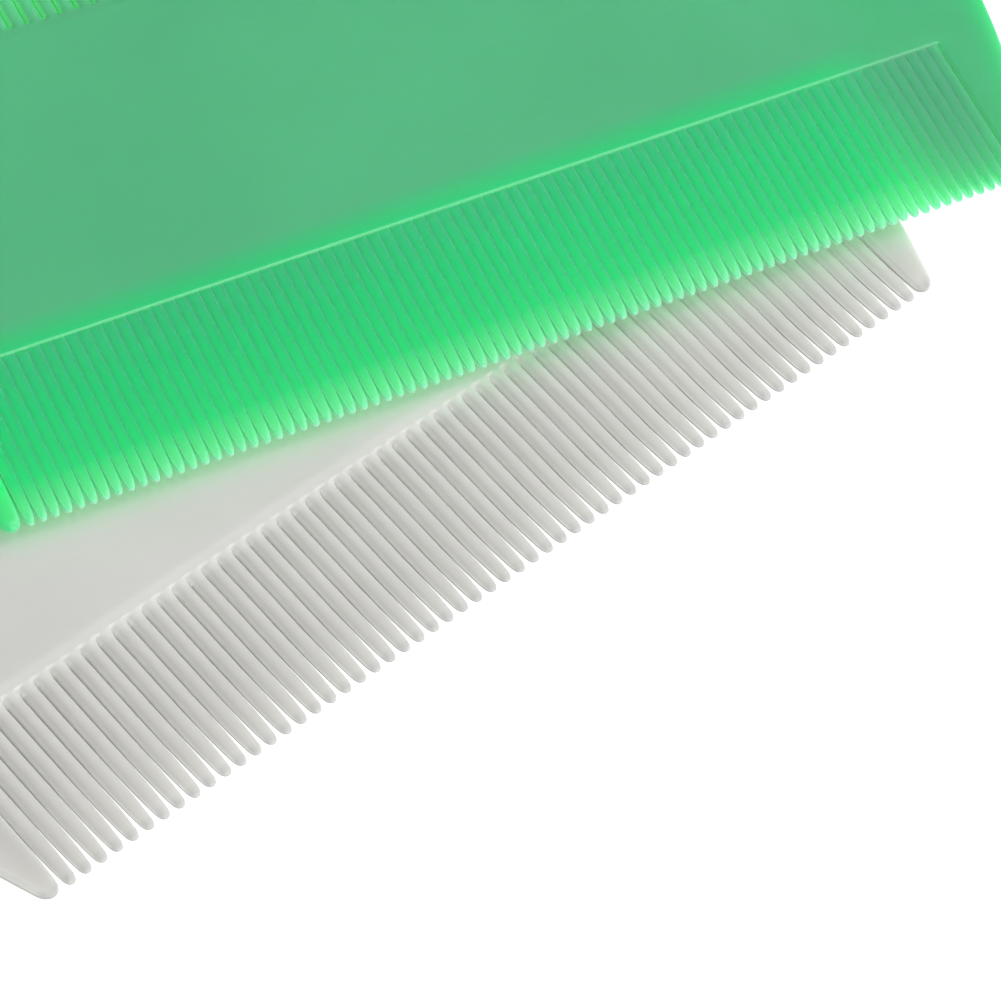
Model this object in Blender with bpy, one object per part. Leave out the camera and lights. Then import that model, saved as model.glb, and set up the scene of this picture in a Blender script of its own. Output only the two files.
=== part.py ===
"""Two plastic flea combs from one mould: a green one lying askew on a white one.

Each comb is a single moulding: a flat plate with a coarse row of teeth along one long side, a fine row
along the other, and a wedge-shaped guard at both ends of each row. Metres, +Z up. The white comb lies
with its middle over the origin and its underside at z = 0, coarse teeth towards -Y.
"""

import math

import bmesh
import bpy

MM = 0.001

# One comb, seen from above
HALF_LENGTH = 49.0 * MM  # middle of the comb to the crest of a curved end
HALF_WIDTH = 28.1 * MM  # middle of the comb to the tooth tips
END_RADIUS = 76.0 * MM  # curve of the two ends
END_SEGMENTS = 12
GUARD_TIP_RADIUS = 0.7 * MM  # outer corner of each guard
GUARD_TIP_SEGMENTS = 2
GUARD_INNER_X = 42.62 * MM  # where the toothed band stops and the guards begin

# One comb, seen from the end
PLATE_HALF = 1.2 * MM  # half thickness of the plate
GUARD_TIP_HALF = 0.45 * MM  # half thickness of a guard at its tip
BAND_ROOT_HALF = 1.05 * MM  # half thickness of the toothed band at the roots
BAND_TIP_HALF = 0.32 * MM  # half thickness of the toothed band at the tips
RIDGE_Y = 13.75 * MM  # crest of the small step between plate and toothed band
BAND_Y = 14.2 * MM  # foot of that step
RIM_BEVEL = 0.34 * MM  # rounding of the outer rim
RIM_SEGMENTS = 2
OVERCUT = 0.9 * MM  # how far cutters run past what they cut

# Slots: each is narrow at mid thickness and opens towards both faces
SLOT_END_Y = 14.8 * MM  # inner end of a slot at mid thickness
RUN_OUT = 0.5 * MM  # how much further in the groove above a slot reaches at the face
COARSE_PITCH = 1.4 * MM
COARSE_SLOTS = 61
FINE_PITCH = 0.9915 * MM
FINE_SLOTS = 86
COARSE_FLARE = 0.33  # sideways opening per unit of height
FINE_FLARE = 0.22
# distance from the tips, half width of the slot there
COARSE_STATIONS = ((None, 0.09), (1.9, 0.14), (0.4, 0.25), (-0.06, 0.45))
FINE_STATIONS = ((None, 0.07), (1.2, 0.11), (-0.06, 0.32))

# How the green comb lies on the white one
STACK_GAP = 0.3 * MM
GREEN_X = 21.1 * MM
GREEN_Y = 11.9 * MM
GREEN_TURN = math.radians(165.1)

WHITE = (0.62, 0.62, 0.59, 1.0)
GREEN = (0.04, 0.50, 0.19, 1.0)


def clear_scene():
    for thing in list(bpy.data.objects):
        bpy.data.objects.remove(thing, do_unlink=True)


def new_collection(name):
    made = bpy.data.collections.new(name)
    bpy.context.scene.collection.children.link(made)
    return made


def plastic(name, colour):
    made = bpy.data.materials.new(name)
    made.use_nodes = True
    shader = made.node_tree.nodes["Principled BSDF"]
    shader.inputs["Base Color"].default_value = colour
    shader.inputs["Roughness"].default_value = 0.35
    return made


def object_from(bm, name, collection):
    bmesh.ops.recalc_face_normals(bm, faces=bm.faces)
    mesh = bpy.data.meshes.new(name)
    bm.to_mesh(mesh)
    bm.free()
    made = bpy.data.objects.new(name, mesh)
    collection.objects.link(made)
    return made


def add_prism(bm, points, direction):
    """Extrude a flat ring of points by a vector into a closed solid."""
    ring = [bm.verts.new(p) for p in points]
    face = bm.faces.new(ring)
    grown = bmesh.ops.extrude_face_region(bm, geom=[face])["geom"]
    moved = [g for g in grown if isinstance(g, bmesh.types.BMVert)]
    bmesh.ops.translate(bm, verts=moved, vec=direction)


def make_cutter(bm, name, owner, collection):
    cutter = object_from(bm, name, collection)
    cutter.parent = owner
    cutter.hide_render = True
    cutter.display_type = "WIRE"
    return cutter


def cut(owner, cutter, operation="DIFFERENCE"):
    step = owner.modifiers.new(cutter.name, "BOOLEAN")
    step.operation = operation
    step.solver = "EXACT"
    step.object = cutter


def end_x(y):
    """X of the curved end at a given Y."""
    return HALF_LENGTH - END_RADIUS + math.sqrt(END_RADIUS**2 - y**2)


def blank_mesh():
    """Plate and guards as one solid: the side profile crossed with the outline, with a rounded rim."""
    reach = HALF_LENGTH + OVERCUT
    side = [(RIDGE_Y, PLATE_HALF), (HALF_WIDTH, GUARD_TIP_HALF)]
    half = side + [(y, -z) for y, z in reversed(side)]
    profile = half + [(-y, -z) for y, z in half]
    bm = bmesh.new()
    add_prism(bm, [(-reach, y, z) for y, z in profile], (2 * reach, 0, 0))
    # trim both ends to the curve, one flat facet at a time
    step = 2 * HALF_WIDTH / END_SEGMENTS
    for sign in (-1, 1):
        for i in range(END_SEGMENTS):
            low = -HALF_WIDTH + i * step
            a = (sign * end_x(low), low)
            b = (sign * end_x(low + step), low + step)
            normal = (sign * (b[1] - a[1]), -sign * (b[0] - a[0]), 0)
            geom = bm.verts[:] + bm.edges[:] + bm.faces[:]
            trimmed = bmesh.ops.bisect_plane(
                bm, geom=geom, plane_co=(a[0], a[1], 0), plane_no=normal, clear_outer=True
            )
            rim = [g for g in trimmed["geom_cut"] if isinstance(g, bmesh.types.BMEdge)]
            bmesh.ops.edgeloop_fill(bm, edges=rim)
    return bm


def upright_edges(bm):
    """The four standing corner edges at the guard tips."""
    found = []
    for edge in bm.edges:
        a, b = edge.verts
        standing = abs(a.co.z - b.co.z) > GUARD_TIP_HALF
        same_spot = math.hypot(a.co.x - b.co.x, a.co.y - b.co.y) < 0.01 * MM
        if standing and same_spot and abs(abs(a.co.y) - HALF_WIDTH) < 0.01 * MM:
            found.append(edge)
    return found


def rim_edges(bm):
    """Edges where the top or the underside meets the outer wall."""
    found = []
    for edge in bm.edges:
        steepness = sorted(abs(face.normal.z) for face in edge.link_faces)
        if len(steepness) == 2 and steepness[0] < 0.5 < 0.9 < steepness[1]:
            found.append(edge)
    return found


def add_recesses(bm):
    """Four wedges that lower the toothed bands below the plate and the guards."""
    slope = (BAND_ROOT_HALF - BAND_TIP_HALF) / (HALF_WIDTH - BAND_Y)
    ramp = (PLATE_HALF - BAND_ROOT_HALF) / (BAND_Y - RIDGE_Y)
    far_y = HALF_WIDTH + OVERCUT
    inner_y = RIDGE_Y - OVERCUT / 2
    outline = [
        (inner_y, PLATE_HALF + ramp * (RIDGE_Y - inner_y)),
        (BAND_Y, BAND_ROOT_HALF),
        (far_y, BAND_TIP_HALF - slope * (far_y - HALF_WIDTH)),
        (far_y, PLATE_HALF + OVERCUT),
        (inner_y, PLATE_HALF + OVERCUT),
    ]
    for side in (-1, 1):
        for face in (-1, 1):
            ring = [(-GUARD_INNER_X, side * y, face * z) for y, z in outline]
            add_prism(bm, ring, (2 * GUARD_INNER_X, 0, 0))


def band_half(y):
    """Half thickness of the toothed band at a distance from the comb's middle."""
    along = (y - BAND_Y) / (HALF_WIDTH - BAND_Y)
    return BAND_ROOT_HALF + along * (BAND_TIP_HALF - BAND_ROOT_HALF)


def add_slot(bm, x, side, stations, flare):
    """One slot: a wedge pair, waisted at mid thickness, lofted from its inner end past the tips."""
    rings = []
    for i, (from_tip, half_width) in enumerate(stations):
        y = SLOT_END_Y if from_tip is None else HALF_WIDTH - from_tip * MM
        waist = half_width * MM
        top = band_half(y) + RIM_BEVEL / 2
        back = RUN_OUT * top / BAND_ROOT_HALF if i == 0 else 0.0
        wide = waist + flare * top
        ring = []
        for across, height, shift in (
            (-wide, -top, back),
            (wide, -top, back),
            (waist, 0.0, 0.0),
            (wide, top, back),
            (-wide, top, back),
            (-waist, 0.0, 0.0),
        ):
            ring.append(bm.verts.new((x + across, side * (y - shift), height)))
        rings.append(ring)
    for near, far in zip(rings, rings[1:]):
        for k in range(6):
            n = (k + 1) % 6
            bm.faces.new((near[k], near[n], far[n], far[k]))
    for ring in (rings[0], rings[-1]):
        bm.faces.new((ring[0], ring[1], ring[2], ring[5]))
        bm.faces.new((ring[5], ring[2], ring[3], ring[4]))


def slot_row(owner, name, side, count, pitch, stations, flare, collection):
    bm = bmesh.new()
    for i in range(count):
        add_slot(bm, (i - (count - 1) / 2) * pitch, side, stations, flare)
    return make_cutter(bm, name, owner, collection)


def make_comb(name, colour, parts, cutters):
    bm = blank_mesh()
    bmesh.ops.bevel(
        bm,
        geom=upright_edges(bm),
        offset=GUARD_TIP_RADIUS,
        segments=GUARD_TIP_SEGMENTS,
        profile=0.5,
        affect="EDGES",
    )
    bm.normal_update()
    bmesh.ops.bevel(
        bm,
        geom=rim_edges(bm),
        offset=RIM_BEVEL,
        segments=RIM_SEGMENTS,
        profile=0.5,
        affect="EDGES",
    )
    comb = object_from(bm, name, parts)
    comb.data.materials.append(plastic(name + "_plastic", colour))
    bm = bmesh.new()
    add_recesses(bm)
    cut(comb, make_cutter(bm, name + "_recesses", comb, cutters))
    coarse = (COARSE_SLOTS, COARSE_PITCH, COARSE_STATIONS, COARSE_FLARE)
    fine = (FINE_SLOTS, FINE_PITCH, FINE_STATIONS, FINE_FLARE)
    cut(comb, slot_row(comb, name + "_coarse_slots", -1, *coarse, cutters))
    cut(comb, slot_row(comb, name + "_fine_slots", 1, *fine, cutters))
    return comb


clear_scene()
parts = new_collection("flea_combs")
cutters = new_collection("cutters")

white = make_comb("white_comb", WHITE, parts, cutters)
white.location = (0.0, 0.0, PLATE_HALF)

green = make_comb("green_comb", GREEN, parts, cutters)
green.location = (GREEN_X, GREEN_Y, 3 * PLATE_HALF + STACK_GAP)
green.rotation_euler = (0.0, 0.0, GREEN_TURN)
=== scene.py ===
"""Looks of two plastic flea combs from one mould, a green one lying askew on a white one.

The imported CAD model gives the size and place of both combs. Each CAD comb is replaced by a finer mesh of
the same moulding: rounded teeth, slots that run out into the plate, a soft step along each toothed band and
guards with rounded rims. Metres, +Z up.
"""

import math
from collections import namedtuple

import bmesh
import bpy
import numpy as np
from mathutils import Matrix, Vector


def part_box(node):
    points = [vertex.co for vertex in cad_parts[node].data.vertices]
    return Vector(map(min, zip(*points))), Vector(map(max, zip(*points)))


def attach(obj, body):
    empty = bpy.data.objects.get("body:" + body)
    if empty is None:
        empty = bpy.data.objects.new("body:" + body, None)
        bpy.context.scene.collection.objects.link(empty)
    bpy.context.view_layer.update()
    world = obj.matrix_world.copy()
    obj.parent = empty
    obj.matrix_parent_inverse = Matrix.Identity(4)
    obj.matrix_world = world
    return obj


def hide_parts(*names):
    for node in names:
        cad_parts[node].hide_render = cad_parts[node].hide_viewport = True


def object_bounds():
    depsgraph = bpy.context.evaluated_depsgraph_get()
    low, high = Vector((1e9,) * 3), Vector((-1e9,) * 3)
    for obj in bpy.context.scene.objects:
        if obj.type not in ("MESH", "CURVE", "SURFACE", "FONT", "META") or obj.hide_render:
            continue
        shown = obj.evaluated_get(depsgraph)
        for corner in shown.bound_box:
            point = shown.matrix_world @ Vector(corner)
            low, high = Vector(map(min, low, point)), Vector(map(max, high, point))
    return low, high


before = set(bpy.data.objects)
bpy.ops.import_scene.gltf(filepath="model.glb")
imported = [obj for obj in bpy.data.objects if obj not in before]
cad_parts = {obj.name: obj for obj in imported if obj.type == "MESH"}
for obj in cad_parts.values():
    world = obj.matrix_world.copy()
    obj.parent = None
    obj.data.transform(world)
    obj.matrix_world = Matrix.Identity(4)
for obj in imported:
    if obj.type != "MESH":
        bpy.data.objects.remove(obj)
cad_low, cad_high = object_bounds()

MM = 0.001

# Outline of one comb, from the CAD box of the white comb, which lies square to the axes
white_low, white_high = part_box("white_comb")
HALF_LENGTH = (white_high.x - white_low.x) / 2
HALF_WIDTH = (white_high.y - white_low.y) / 2
PLATE_HALF = (white_high.z - white_low.z) / 2
END_RADIUS = 76.0 * MM  # curve of the two ends
GREEN_TURN = math.radians(165.1)  # heading of the green comb on the white one

# Section of one comb, as half thicknesses
GUARD_TIP_HALF = 0.45 * MM
BAND_ROOT_HALF = 1.05 * MM
BAND_TIP_HALF = 0.32 * MM
RIM_POWER = 2.2  # roundness of guard rims and slot ends; 2 is an ellipse
TIP_POWER = 2.6  # roundness of tooth tips seen from above
RUN_OUT_POWER = 1.4  # roundness of the groove's end

# Places along the width, as distances from the comb's middle
GUARD_TAPER_Y = 13.75 * MM  # where the guards begin to thin
PLATE_Y = (12.4 * MM, 12.0 * MM)  # last full sections on the flat plate
MIDDLE_Y = 11.0 * MM  # edge of the plain middle panel

# Places in a row, from the foot of the step between its toothed band and the plate
SLOT_END = 0.45 * MM  # towards the tips: inner end of the slots
RUN_OUT = -0.1 * MM  # towards the plate: where the groove above a slot has run out

# Roundings
SLOT_END_ROUND = 0.13 * MM
TIP_FALL = 0.8 * MM  # length over which a tooth thins to nothing at its tip
GUARD_TIP_LENGTH = 0.8 * MM
GUARD_INNER_ROUND = 0.4 * MM
GUARD_RIM_ROUND = 0.4 * MM
INNER_ROUND_SHARE = 0.45  # most of a guard's width that its inner rounding may take
RIM_ROUND_SHARE = 0.4  # the same for its rim

MOULD_SPOT = "mould_spot"  # name of the attribute with each point's spot in the mould's frame
NOISE_SHIFT = (0.137, 0.171, 0.119)  # keeps the noises' own origin, which shows as a fleck, off the plastic

# One row of teeth. side is its direction along Y. A slot is root_half + flare * exp(-u / flare_length) wide
# to each side of its centre line, u from the tips. Teeth round off over tip_length. section_power is how boxy
# they are in section, and across is how many columns of faces a section takes. The step up to the plate has
# its foot at band_y and its top at step_top.
Row = namedtuple(
    "Row",
    "side slots pitch root_half flare flare_length tip_length section_power across band_y step_top",
)
COARSE = Row(
    side=-1,
    slots=61,
    pitch=1.4 * MM,
    root_half=0.04 * MM,
    flare=0.24 * MM,
    flare_length=1.6 * MM,
    tip_length=0.7 * MM,
    section_power=2.25,
    across=10,
    band_y=13.95 * MM,
    step_top=12.8 * MM,
)
FINE = Row(
    side=1,
    slots=86,
    pitch=0.9915 * MM,
    root_half=0.01 * MM,
    flare=0.31 * MM,
    flare_length=1.05 * MM,
    tip_length=0.3 * MM,
    section_power=18.0,
    across=8,
    band_y=14.34 * MM,
    step_top=14.1 * MM,
)

# Sections along a tooth and a guard
TIP_SECTIONS = 7
TOOTH_SECTIONS = 12
SLOT_END_SECTIONS = 4
RUN_OUT_SECTIONS = 7
STEP_SECTIONS = 7
GUARD_MIDDLE_SECTIONS = 9
GUARD_CURVE_POINTS = 6  # across each rounding of a guard
GUARD_FLAT_POINTS = 5  # from one rounding to the other, both ends counted

MERGE_DISTANCE = 0.001 * MM


class Shell:
    """Points and faces of a comb's upper half; the lower half is its mirror image."""

    def __init__(self):
        self.points = []
        self.faces = []

    def add_points(self, points):
        first = len(self.points)
        self.points.extend(tuple(p) for p in points)
        return list(range(first, len(self.points)))

    def add_grid(self, grid):
        """A block of points, shape (lines, columns, 3), joined by quads. Returns the point numbers."""
        lines, columns = grid.shape[:2]
        numbers = np.array(self.add_points(grid.reshape(-1, 3))).reshape(lines, columns)
        corners = (numbers[:-1, :-1], numbers[1:, :-1], numbers[1:, 1:], numbers[:-1, 1:])
        self.faces.extend(np.stack(corners, axis=-1).reshape(-1, 4).tolist())
        return numbers


def swell(t, power=RIM_POWER):
    """Height of a rounded shoulder, 0 at its foot (t = 0) and 1 from t = 1 on."""
    rest = 1 - np.clip(t, 0, 1)
    return (1 - rest**power) ** (1 / power)


def quarter(low, high, count):
    """Values from low to high that crowd towards low, as a circle's do."""
    return low + (high - low) * (1 - np.cos(np.linspace(0, math.pi / 2, count)))


def smooth_step(t):
    t = np.clip(t, 0, 1)
    return t * t * (3 - 2 * t)


def end_x(y):
    """X of the curved end at a given Y."""
    return HALF_LENGTH - END_RADIUS + np.sqrt(END_RADIUS**2 - y**2)


def band_half(row, y):
    """Half thickness of a toothed band, and of the plate behind it, at a distance from the middle."""
    along = np.clip((y - row.band_y) / (HALF_WIDTH - row.band_y), 0, 1)
    band = BAND_ROOT_HALF + along * (BAND_TIP_HALF - BAND_ROOT_HALF)
    rise = smooth_step((row.band_y - y) / (row.band_y - row.step_top))
    return band + rise * (PLATE_HALF - BAND_ROOT_HALF)


def guard_half(y):
    """Half thickness of a guard at a distance from the middle."""
    along = np.clip((y - GUARD_TAPER_Y) / (HALF_WIDTH - GUARD_TAPER_Y), 0, 1)
    return PLATE_HALF + along * (GUARD_TIP_HALF - PLATE_HALF)


def tip_fall(y):
    """Thinning of teeth and guards close to their tips, as a factor."""
    return np.sqrt(1 - np.clip(1 - (HALF_WIDTH - y) / TIP_FALL, 0, 1) ** 2)


def groove_floor(row, y):
    """Share of the full thickness left on a slot's centre line: 0 in the slot, 1 past its run-out."""
    return 1 - swell((y - row.band_y - RUN_OUT) / (SLOT_END - RUN_OUT), RUN_OUT_POWER)


def slot_half(row, y):
    """Half width of a slot at a distance from the middle; 0 past its inner end."""
    half = row.root_half + row.flare * np.exp((y - HALF_WIDTH) / row.flare_length)
    return half * swell((y - row.band_y - SLOT_END) / SLOT_END_ROUND)


def section_places(row):
    """Distances from the middle at which a row is sectioned, from the tips to the plate."""
    slot_end_y = row.band_y + SLOT_END
    run_out_y = row.band_y + RUN_OUT
    round_y = slot_end_y + SLOT_END_ROUND
    tip_y = HALF_WIDTH - row.tip_length
    parts = (
        quarter(HALF_WIDTH, tip_y, TIP_SECTIONS),
        quarter(tip_y, round_y, TOOTH_SECTIONS)[1:],
        quarter(slot_end_y, round_y, SLOT_END_SECTIONS)[-2::-1],
        quarter(run_out_y, slot_end_y, RUN_OUT_SECTIONS)[-2::-1],
        np.linspace(run_out_y, row.step_top, STEP_SECTIONS)[1:],
        PLATE_Y,
    )
    return np.concatenate(parts)


def tooth_section(row):
    """A tooth's upper outline from edge to edge, as shares of its half width and half thickness."""
    turn = np.linspace(-math.pi / 2, math.pi / 2, row.across + 1)
    across = np.sign(turn) * np.abs(np.sin(turn)) ** (2 / row.section_power)
    section = np.cos(turn).clip(0) ** (2 / row.section_power)
    section[[0, -1]] = 0
    return across, section


def slot_centres(row):
    return (np.arange(row.slots) - (row.slots - 1) / 2) * row.pitch


def add_teeth(shell, row):
    """One row of teeth with the strip of plate behind it. Returns the row's points on the middle panel."""
    y = section_places(row)
    half = row.pitch / 2 - slot_half(row, y)
    half = half * swell((HALF_WIDTH - y) / row.tip_length, TIP_POWER)
    across, section = tooth_section(row)
    floor = groove_floor(row, y)[:, None]
    height = band_half(row, y) * tip_fall(y)
    z = height[:, None] * (floor + (1 - floor) * section[None, :])
    grid = np.empty(z.shape + (3,))
    grid[..., 1] = row.side * y[:, None]
    grid[..., 2] = z
    centres = slot_centres(row)
    edge = shell.add_points((x, row.side * MIDDLE_Y, PLATE_HALF) for x in centres)
    for i in range(row.slots - 1):
        middle = (centres[i] + centres[i + 1]) / 2
        grid[..., 0] = middle + half[:, None] * across[None, :]
        numbers = shell.add_grid(grid)
        shell.faces.append([*numbers[-1].tolist(), edge[i + 1], edge[i]])
    return edge


def guard_side(row):
    """Sections of the right guard in one row's half: Y, inner X and outer X, from the tip inwards."""
    y = np.append(section_places(row), MIDDLE_Y)
    inner = slot_centres(row)[-1] + slot_half(row, y)
    outer = end_x(y)
    narrowing = swell((HALF_WIDTH - y) / GUARD_TIP_LENGTH)
    middle = (inner + outer) / 2
    inner = middle + (inner - middle) * narrowing
    outer = middle + (outer - middle) * narrowing
    return row.side * y, inner, outer


def add_guards(shell):
    """Both ends of the comb, each one strip from the coarse guard's tip to the fine guard's tip."""
    coarse_y, coarse_in, coarse_out = guard_side(COARSE)
    fine_y, fine_in, fine_out = (part[::-1] for part in guard_side(FINE))
    y = np.linspace(-MIDDLE_Y, MIDDLE_Y, GUARD_MIDDLE_SECTIONS)[1:-1]
    share = (y + MIDDLE_Y) / (2 * MIDDLE_Y)
    inner = coarse_in[-1] + share * (fine_in[0] - coarse_in[-1])
    y, inner, outer = (
        np.concatenate((coarse_y, y, fine_y)),
        np.concatenate((coarse_in, inner, fine_in)),
        np.concatenate((coarse_out, end_x(y), fine_out)),
    )
    width = outer - inner
    inner_round = np.minimum(GUARD_INNER_ROUND, INNER_ROUND_SHARE * width)
    rim_round = np.minimum(GUARD_RIM_ROUND, RIM_ROUND_SHARE * width)
    # distances from the inner edge: rounding, flat, rounding
    curve = quarter(0, 1, GUARD_CURVE_POINTS)
    flat = np.linspace(0, 1, GUARD_FLAT_POINTS)[1:-1]
    from_inner = np.concatenate(
        (
            inner_round[:, None] * curve,
            inner_round[:, None] + (width - inner_round - rim_round)[:, None] * flat,
            width[:, None] - rim_round[:, None] * curve[::-1],
        ),
        axis=1,
    )
    with np.errstate(divide="ignore", invalid="ignore"):
        inner_share = np.nan_to_num(from_inner / inner_round[:, None])
        rim_share = np.nan_to_num((width[:, None] - from_inner) / rim_round[:, None])
    distance = np.abs(y)
    foot = np.where(
        y < 0,
        band_half(COARSE, distance) * groove_floor(COARSE, distance),
        band_half(FINE, distance) * groove_floor(FINE, distance),
    )[:, None]
    top = guard_half(distance)[:, None]
    z = (foot + (top - foot) * swell(inner_share)) * swell(rim_share)
    grid = np.empty(z.shape + (3,))
    grid[..., 0] = inner[:, None] + from_inner
    grid[..., 1] = y[:, None]
    grid[..., 2] = z * tip_fall(distance)[:, None]
    right = shell.add_grid(grid)
    left = shell.add_grid(grid * (-1, 1, 1))
    inside = np.abs(y) <= MIDDLE_Y
    return left[inside, 0].tolist(), right[inside, 0].tolist()


def comb_mesh(name, place):
    """The whole moulding, set in place. It is made with mid thickness at z = 0, coarse teeth towards -Y,
    and each point keeps its spot in that frame of the mould as an attribute, for the material."""
    shell = Shell()
    coarse_edge = add_teeth(shell, COARSE)
    fine_edge = add_teeth(shell, FINE)
    left, right = add_guards(shell)
    shell.faces.append([*coarse_edge[1:-1], *right, *fine_edge[-2:0:-1], *left[::-1]])
    upper = np.array(shell.points)
    lower = upper * (1, 1, -1)
    count = len(upper)
    mirrored = [[number + count for number in face] for face in shell.faces]
    mesh = bpy.data.meshes.new(name)
    mesh.from_pydata(np.concatenate((upper, lower)), [], shell.faces + mirrored)
    bm = bmesh.new()
    bm.from_mesh(mesh)
    bmesh.ops.remove_doubles(bm, verts=bm.verts, dist=MERGE_DISTANCE)
    bmesh.ops.recalc_face_normals(bm, faces=bm.faces)
    bm.to_mesh(mesh)
    bm.free()
    mesh.shade_smooth()
    spots = np.empty(3 * len(mesh.vertices), np.float32)
    mesh.vertices.foreach_get("co", spots)
    mesh.attributes.new(MOULD_SPOT, "FLOAT_VECTOR", "POINT").data.foreach_set("vector", spots)
    mesh.transform(place)
    return mesh


# Sockets of a Mix node that mixes colours; their names are shared with its other kinds
MIX_A = 6
MIX_B = 7
MIX_RESULT = 2

GRAIN_SCALE = 2500.0
FLOW_SCALE = 70.0  # slow drift of tone and gloss
TONE_DRIFT = 0.07
GLOSS_DRIFT = 0.05
END_ON_WALLS = 0.4  # share of the end band's strength that reaches walls facing sideways

# A colour laid over a comb's own where some measure is low: strength below start, nothing above end
Band = namedtuple("Band", "colour strength start end")


def node(tree, kind, **values):
    """A shader node; values go to its properties, or to its inputs where no property has that name."""
    made = tree.nodes.new(kind)
    for key, value in values.items():
        if hasattr(made, key):
            setattr(made, key, value)
        else:
            made.inputs[key.replace("_", " ")].default_value = value
    return made


def colour_ramp(tree, stops):
    """A ramp through (position, linear colour) stops."""
    ramp = tree.nodes.new("ShaderNodeValToRGB")
    elements = ramp.color_ramp.elements
    while len(elements) < len(stops):
        elements.new(0.5)
    for element, (place, colour) in zip(elements, stops):
        element.position = place
        element.color = (*colour, 1.0)
    return ramp


def calculate(tree, operation, *operands):
    """A math node's result; each operand is a number or another node's output."""
    made = node(tree, "ShaderNodeMath", operation=operation)
    for operand, socket in zip(operands, made.inputs):
        if isinstance(operand, float):
            socket.default_value = operand
        else:
            tree.links.new(operand, socket)
    return made.outputs[0]


def near(tree, value, band):
    """The band's strength while a value is below the band's start, falling smoothly to 0 at its end."""
    made = node(
        tree,
        "ShaderNodeMapRange",
        interpolation_type="SMOOTHSTEP",
        From_Min=band.start,
        From_Max=band.end,
        To_Min=band.strength,
        To_Max=0.0,
    )
    tree.links.new(value, made.inputs["Value"])
    return made.outputs["Result"]


def painted(tree, under, value, band):
    """The colour under, with a band's colour laid over it where the value is low."""
    made = node(tree, "ShaderNodeMix", data_type="RGBA")
    tree.links.new(near(tree, value, band), made.inputs["Factor"])
    tree.links.new(under, made.inputs[MIX_A])
    made.inputs[MIX_B].default_value = (*band.colour, 1.0)
    return made.outputs[MIX_RESULT]


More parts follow.
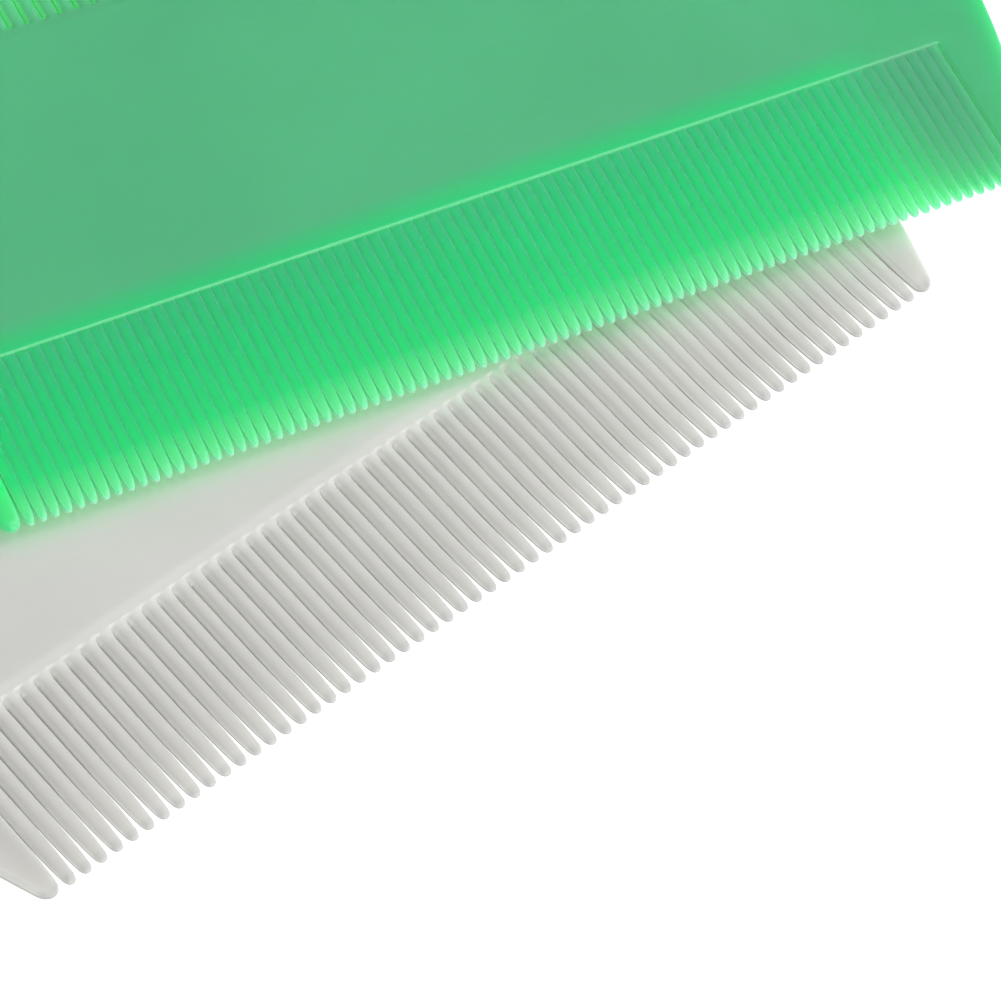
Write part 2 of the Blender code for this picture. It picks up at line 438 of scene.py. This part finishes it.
def comb_plastic(name, stops, end, rim, side, tip, edge_shade, roughness, depth, reach, glow):
    """Translucent moulded plastic. Its colour goes by the place along the comb's width, in stops from the
    coarse tips (0) to the fine tips (1). Bands lie over it: along X at the -X end, a painted shade; on walls
    that face sideways, painted light that lifts the shade in the slots and stands for light leaving the
    plastic there;
    along the curved rims; towards the tips of the teeth; and at mid thickness, a painted dark line for the
    shade
    along edges and deep in the slots. depth and reach are the subsurface scale and radius. glow is painted
    light:
    an emission from faces that look down, for the light that comes through the plastic and leaves it
    downwards.
    end, tip and glow may be None."""
    material = bpy.data.materials.new(name)
    material.use_nodes = True
    tree = material.node_tree
    link = tree.links.new
    shader = tree.nodes["Principled BSDF"]
    place = node(tree, "ShaderNodeAttribute", attribute_name=MOULD_SPOT)
    split = node(tree, "ShaderNodeSeparateXYZ")
    link(place.outputs["Vector"], split.inputs[0])
    x, y, z = split.outputs
    share = calculate(tree, "MULTIPLY_ADD", y, 0.5 / HALF_WIDTH, 0.5)
    ramp = colour_ramp(tree, stops)
    link(share, ramp.inputs[0])
    colour = ramp.outputs["Color"]
    if end:
        colour = painted(tree, colour, x, end)
    # painted light: walls that face sideways get a lighter colour, which lifts the shade in the narrow slots
    # and stands for light leaving the plastic at its walls
    facing = node(tree, "ShaderNodeSeparateXYZ")
    link(tree.nodes.new("ShaderNodeNewGeometry").outputs["Normal"], facing.inputs[0])
    colour = painted(tree, colour, calculate(tree, "ABSOLUTE", facing.outputs["Z"]), side)
    if end:
        # painted shade: less light leaves the walls there too
        colour = painted(tree, colour, x, end._replace(strength=END_ON_WALLS * end.strength))
    # the end's curve is close to a parabola
    y_squared = calculate(tree, "MULTIPLY", y, y)
    rim_x = calculate(tree, "MULTIPLY_ADD", y_squared, -0.5 / END_RADIUS, HALF_LENGTH)
    to_rim = calculate(tree, "SUBTRACT", rim_x, calculate(tree, "ABSOLUTE", x))
    colour = painted(tree, colour, to_rim, rim)
    if tip:
        to_tips = calculate(tree, "SUBTRACT", HALF_WIDTH, calculate(tree, "ABSOLUTE", y))
        colour = painted(tree, colour, to_tips, tip)
    # painted shade: a dark line at mid thickness, for the dark outline along thin edges and the shade deep in
    # the slots
    colour = painted(tree, colour, calculate(tree, "ABSOLUTE", z), edge_shade)
    shifted = node(tree, "ShaderNodeVectorMath", operation="ADD")
    link(place.outputs["Vector"], shifted.inputs[0])
    shifted.inputs[1].default_value = NOISE_SHIFT
    flow = node(tree, "ShaderNodeTexNoise", Scale=FLOW_SCALE, Detail=3.0, Roughness=0.5)
    link(shifted.outputs[0], flow.inputs["Vector"])
    tone = node(tree, "ShaderNodeMapRange", To_Min=1 - TONE_DRIFT, To_Max=1 + TONE_DRIFT)
    link(flow.outputs["Fac"], tone.inputs["Value"])
    tint = node(tree, "ShaderNodeVectorMath", operation="SCALE")
    link(colour, tint.inputs[0])
    link(tone.outputs["Result"], tint.inputs["Scale"])
    link(tint.outputs[0], shader.inputs["Base Color"])
    gloss = node(
        tree, "ShaderNodeMapRange", To_Min=roughness - GLOSS_DRIFT, To_Max=roughness + GLOSS_DRIFT
    )
    link(flow.outputs["Fac"], gloss.inputs["Value"])
    link(gloss.outputs["Result"], shader.inputs["Roughness"])
    grain = node(tree, "ShaderNodeTexNoise", Scale=GRAIN_SCALE, Detail=3.0, Roughness=0.6)
    link(shifted.outputs[0], grain.inputs["Vector"])
    bump = node(tree, "ShaderNodeBump", Strength=0.08, Distance=0.02 * MM)
    link(grain.outputs["Fac"], bump.inputs["Height"])
    link(bump.outputs["Normal"], shader.inputs["Normal"])
    # painted light: faces that look down emit green light, standing for light that passes through the plastic
    # from above
    if glow:
        under = node(tree, "ShaderNodeMapRange", From_Min=0.0, From_Max=-1.0, To_Min=0.0, To_Max=1.0)
        link(facing.outputs["Z"], under.inputs["Value"])
        link(under.outputs["Result"], shader.inputs["Emission Strength"])
        shader.inputs["Emission Color"].default_value = (*glow, 1.0)
    shader.inputs["Subsurface Weight"].default_value = 1.0
    shader.inputs["Subsurface Radius"].default_value = reach
    shader.inputs["Subsurface Scale"].default_value = depth
    return material


def add_comb(colour_word, material, place):
    """One comb in the looks of its colour, standing for the CAD node of the same comb."""
    name = colour_word + "_comb_moulding"
    mesh = comb_mesh(name, place)
    comb = bpy.data.objects.new(name, mesh)
    bpy.context.scene.collection.objects.link(comb)
    mesh.materials.append(material)
    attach(comb, colour_word)
    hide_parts(colour_word + "_comb")


def box_middle(node_name):
    low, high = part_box(node_name)
    return (low + high) / 2


def along_width(y):
    """Place of a distance from the middle, positive towards the fine row, among a material's stops."""
    return 0.5 + 0.5 * y / HALF_WIDTH


def white_plastic():
    plate = (0.62, 0.62, 0.593)
    teeth = (0.545, 0.54, 0.517)
    stops = (
        (0.0, teeth),
        (along_width(-15.0 * MM), teeth),
        (along_width(-14.0 * MM), plate),
        (along_width(14.0 * MM), plate),
        (1.0, teeth),
    )
    return comb_plastic(
        "white_comb_plastic",
        stops,
        end=None,
        rim=Band((0.595, 0.59, 0.565), 1.0, 0.6 * MM, 2.8 * MM),
        # painted light: lighter sideways-facing walls, lifting the shade in the slots
        side=Band((0.90, 0.90, 0.88), 0.55, 0.25, 0.85),
        # painted shade: the tips are darkened, for the dark outline and dimmer look that thin tips show
        # against the bright table
        tip=Band((0.36, 0.36, 0.35), 0.8, 0.1 * MM, 1.1 * MM),
        # painted shade: a dark line at mid thickness, for the dark outline around the tips
        edge_shade=Band((0.30, 0.30, 0.29), 1.0, 0.04 * MM, 0.11 * MM),
        roughness=0.3,
        depth=1.4 * MM,
        reach=(1.0, 1.0, 1.0),
        glow=None,
    )


def green_plastic():
    # Along the width the toothed bands are brighter and more saturated than the plate, and the fine tips
    # lighter. Partly the plastic is thinner there; partly it is painted light, for the glow from the white
    # comb and the bright table under the teeth. The plate's muted tone holds a painted reflection of the
    # bright room.
    plate = (0.085, 0.465, 0.22)
    stops = (
        (0.0, (0.14, 0.58, 0.29)),
        (along_width(-13.6 * MM), plate),
        (along_width(11.6 * MM), plate),
        (along_width(13.8 * MM), (0.02, 0.56, 0.19)),
        (along_width(14.6 * MM), (0.02, 0.60, 0.19)),
        (along_width(19.1 * MM), (0.004, 0.79, 0.18)),
        (along_width(24.7 * MM), (0.01, 0.90, 0.185)),
        (1.0, (0.165, 0.82, 0.305)),
    )
    return comb_plastic(
        "green_comb_plastic",
        stops,
        # painted shade: the -X end lies over the bare table rather than the white comb, so it is painted
        # muted, like the plate
        end=Band((0.065, 0.46, 0.20), 1.0, -39.5 * MM, -31.0 * MM),
        # painted light: a brighter green along the curved rims, for the glow where light inside the plastic
        # leaves at the edges
        rim=Band((0.03, 0.55, 0.20), 0.85, 0.0, 3.0 * MM),
        # painted light: bright green on sideways-facing walls, lifting the shade in the slots and standing
        # for light leaving the plastic
        side=Band((0.36, 0.97, 0.54), 0.75, 0.25, 0.85),
        tip=None,
        # painted shade: a greyer, darker line at mid thickness, for the look of the slots and the edges of
        # the tips
        edge_shade=Band((0.36, 0.46, 0.30), 0.5, 0.05 * MM, 0.12 * MM),
        roughness=0.25,
        depth=3.2 * MM,
        reach=(0.3, 1.0, 0.5),
        glow=(0.03, 0.46, 0.15),
    )


add_comb("white", white_plastic(), Matrix.Translation(box_middle("white_comb")))
add_comb(
    "green",
    green_plastic(),
    Matrix.Translation(box_middle("green_comb")) @ Matrix.Rotation(GREEN_TURN, 4, "Z"),
)


# Table, light and camera

FLOOR_SIZE = 6.0
FLOOR_GREY = 0.3
FLOOR_LIGHT = 0.9  # the table's own light, which keeps it as plain and white as in a product photo
WORLD_LIGHT = 0.57
LIGHT_DISTANCE = 0.9
CAMERA_PLACE = Vector((-140.89, -139.16, 275.94)) * MM
CAMERA_HEADING = math.radians(-51.05)
CAMERA_TILT = math.radians(34.05)  # from straight down
CAMERA_ROLL = math.radians(11.35)
CAMERA_LENS = 161.07  # millimetres, on a 36 mm wide sensor


def make_floor():
    """A plain white table top under the combs."""
    bm = bmesh.new()
    bmesh.ops.create_grid(bm, x_segments=8, y_segments=8, size=FLOOR_SIZE / 2)
    mesh = bpy.data.meshes.new("table_top")
    bm.to_mesh(mesh)
    bm.free()
    floor = bpy.data.objects.new("table_top", mesh)
    bpy.context.scene.collection.objects.link(floor)
    floor.location.z = cad_low.z
    material = bpy.data.materials.new("table_white")
    material.use_nodes = True
    shader = material.node_tree.nodes["Principled BSDF"]
    shader.inputs["Base Color"].default_value = (FLOOR_GREY, FLOOR_GREY, FLOOR_GREY, 1.0)
    shader.inputs["Roughness"].default_value = 0.8
    shader.inputs["Emission Color"].default_value = (1.0, 1.0, 1.0, 1.0)
    shader.inputs["Emission Strength"].default_value = FLOOR_LIGHT
    mesh.materials.append(material)


def area_light(name, direction, size, power):
    """A square soft light, of a size in metres and a power in watts, that looks at the combs."""
    data = bpy.data.lights.new(name, "AREA")
    data.shape = "SQUARE"
    data.size = size
    data.energy = power
    light = bpy.data.objects.new(name, data)
    bpy.context.scene.collection.objects.link(light)
    aim = Vector(direction).normalized()
    light.location = (cad_low + cad_high) / 2 + aim * LIGHT_DISTANCE
    light.rotation_mode = "QUATERNION"
    light.rotation_quaternion = aim.to_track_quat("Z", "Y")


def make_world():
    world = bpy.data.worlds.new("studio")
    world.use_nodes = True
    background = world.node_tree.nodes["Background"]
    background.inputs["Color"].default_value = (1.0, 1.0, 1.0, 1.0)
    background.inputs["Strength"].default_value = WORLD_LIGHT
    bpy.context.scene.world = world


def make_camera():
    data = bpy.data.cameras.new("camera")
    data.lens = CAMERA_LENS
    data.sensor_width = 36.0
    data.clip_start = 0.01
    camera = bpy.data.objects.new("camera", data)
    bpy.context.scene.collection.objects.link(camera)
    camera.matrix_world = (
        Matrix.Translation(CAMERA_PLACE)
        @ Matrix.Rotation(CAMERA_HEADING, 4, "Z")
        @ Matrix.Rotation(CAMERA_TILT, 4, "X")
        @ Matrix.Rotation(CAMERA_ROLL, 4, "Z")
    )
    bpy.context.scene.camera = camera


make_floor()
make_world()
area_light("key", direction=(0.05, -0.9, 0.75), size=0.6, power=3.8)
area_light("side", direction=(0.8, -0.2, 0.6), size=0.6, power=2.0)
area_light("overhead", direction=(0.296, -0.171, 0.94), size=0.18, power=1.1)
make_camera()
bpy.context.scene.view_settings.view_transform = "Standard"
